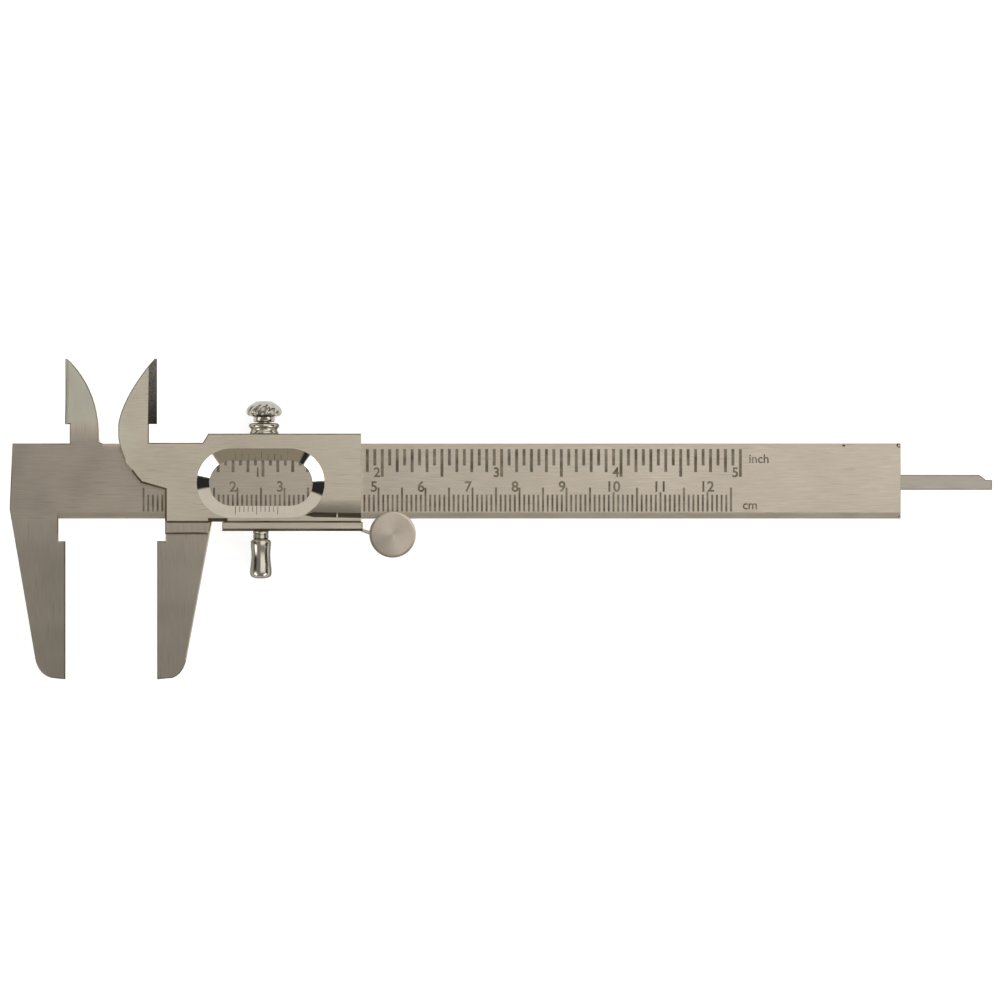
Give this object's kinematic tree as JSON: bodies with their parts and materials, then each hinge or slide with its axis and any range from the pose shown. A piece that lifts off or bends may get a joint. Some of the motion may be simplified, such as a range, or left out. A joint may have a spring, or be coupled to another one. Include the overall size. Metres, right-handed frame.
{
  "type": "vernier caliper",
  "caption": "Vernier caliper with outside and inside jaws, depth rod, windowed slider, lock screw, thumb button and thumb roller.",
  "frame": {"origin": "middle of the caliper's outline seen from the scale side, on the surface it lies on", "axes": "+X along the beam from the fixed jaws to the tail, +Y from the outside jaws to the inside jaws, +Z out of the scale face"},
  "size_m": [0.2092, 0.0682, 0.0077],
  "materials": {
    "satin_steel": "satin ground, warm nickel tone",
    "satin_slider": "satin brushed nickel plate",
    "chrome": "polished nickel chrome",
    "turned_steel": "fine turned rings",
    "spring_steel": "bright drawn spring steel",
    "brass": "plain turned brass"
  },
  "bodies": {
    "beam": {"main_beam": "satin_steel", "tail_stop_plate": "satin_steel", "tail_stop_rivet_lower": "turned_steel", "tail_stop_rivet_upper": "turned_steel"},
    "slider": {"slider_body": "satin_slider", "sliding_outside_jaw": "satin_steel", "slider_back_plate": "satin_slider", "depth_rod": "satin_steel", "roller_arm": "satin_slider", "lock_screw_boss": "chrome", "back_plate_screw_left": "turned_steel", "back_plate_screw_right": "turned_steel", "jaw_screw_left": "turned_steel", "jaw_screw_right": "turned_steel", "arm_rivet_left": "turned_steel", "arm_rivet_right": "turned_steel", "depth_rod_rivet_left": "turned_steel", "depth_rod_rivet_right": "turned_steel", "button_spring": "spring_steel"},
    "gib": {"gib_strip": "spring_steel"},
    "lock_screw": {"lock_screw": "chrome"},
    "thumb_button": {"thumb_button": "chrome", "brake_pad": "brass"},
    "thumb_roller": {"thumb_roller": "turned_steel"}
  },
  "joints": [
    {"name": "slider_travel", "type": "slide", "parent": "beam", "child": "slider", "axis": [1, 0, 0], "range_m": [-0.01955, 0.1054]},
    {"name": "gib_press", "type": "slide", "parent": "slider", "child": "gib", "axis": [0, -1, 0], "range_m": [-0.000125, 0.000208]},
    {"name": "lock_screw_turn", "type": "hinge", "parent": "gib", "child": "lock_screw", "pos_m": [-0.0505, 0.0231, 0.00385], "axis": [0, -1, 0], "range_deg": [-90.5, 150.5]},
    {"name": "button_press", "type": "slide", "parent": "slider", "child": "thumb_button", "axis": [0, 1, 0], "range_m": [0, 0.0004], "stiffness_N_per_m": 600, "springref_m": -0.0008, "deforming": ["button_spring"]},
    {"name": "roller_spin", "type": "hinge", "parent": "slider", "child": "thumb_roller", "pos_m": [-0.0231, -0.0033, 0.0037], "axis": [0, 0, 1], "continuous": true}
  ],
  "couplings": [
    {"joint": "lock_screw_turn", "follows": "gib_press", "rad_per_m": 12566},
    {"joint": "roller_spin", "follows": "slider_travel", "rad_per_m": 294.12}
  ]
}
